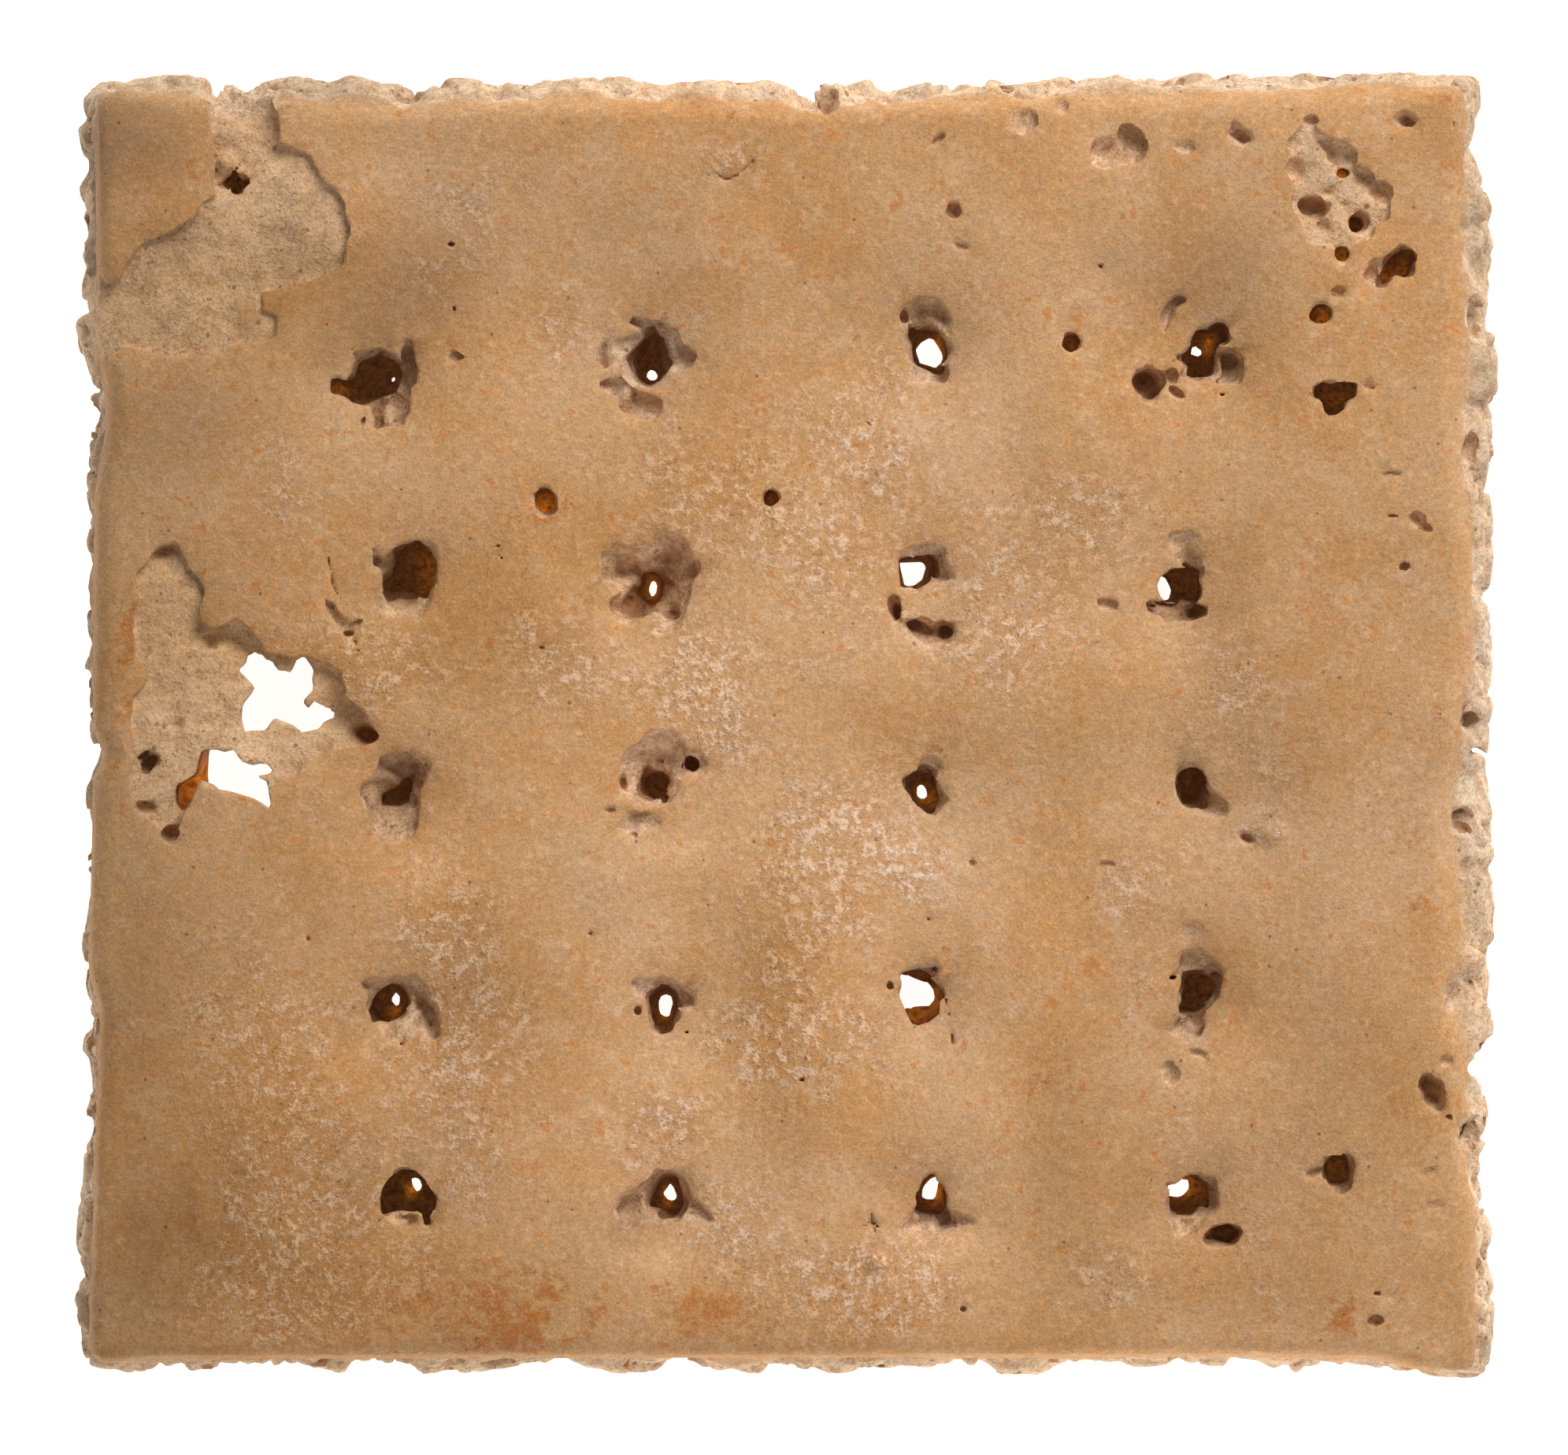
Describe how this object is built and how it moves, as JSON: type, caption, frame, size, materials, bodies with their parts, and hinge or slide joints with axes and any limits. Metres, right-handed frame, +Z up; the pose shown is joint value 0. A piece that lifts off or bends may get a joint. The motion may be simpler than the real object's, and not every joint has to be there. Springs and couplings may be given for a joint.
{
  "type": "hardtack",
  "caption": "Nearly square hard-baked flour cracker with docking holes, a quilted top, broken flakes of crust and crumbly edges.",
  "frame": {"origin": "middle of the flat underside", "axes": "+Z up, out of the docked top face; +X along the longer side; +Y along the shorter side, towards the edge with the crumbled notch"},
  "size_m": [0.0794, 0.073, 0.012],
  "materials": {
    "baked_crust": null
  },
  "bodies": {
    "root": {"hardtack": "baked_crust"}
  },
  "joints": []
}
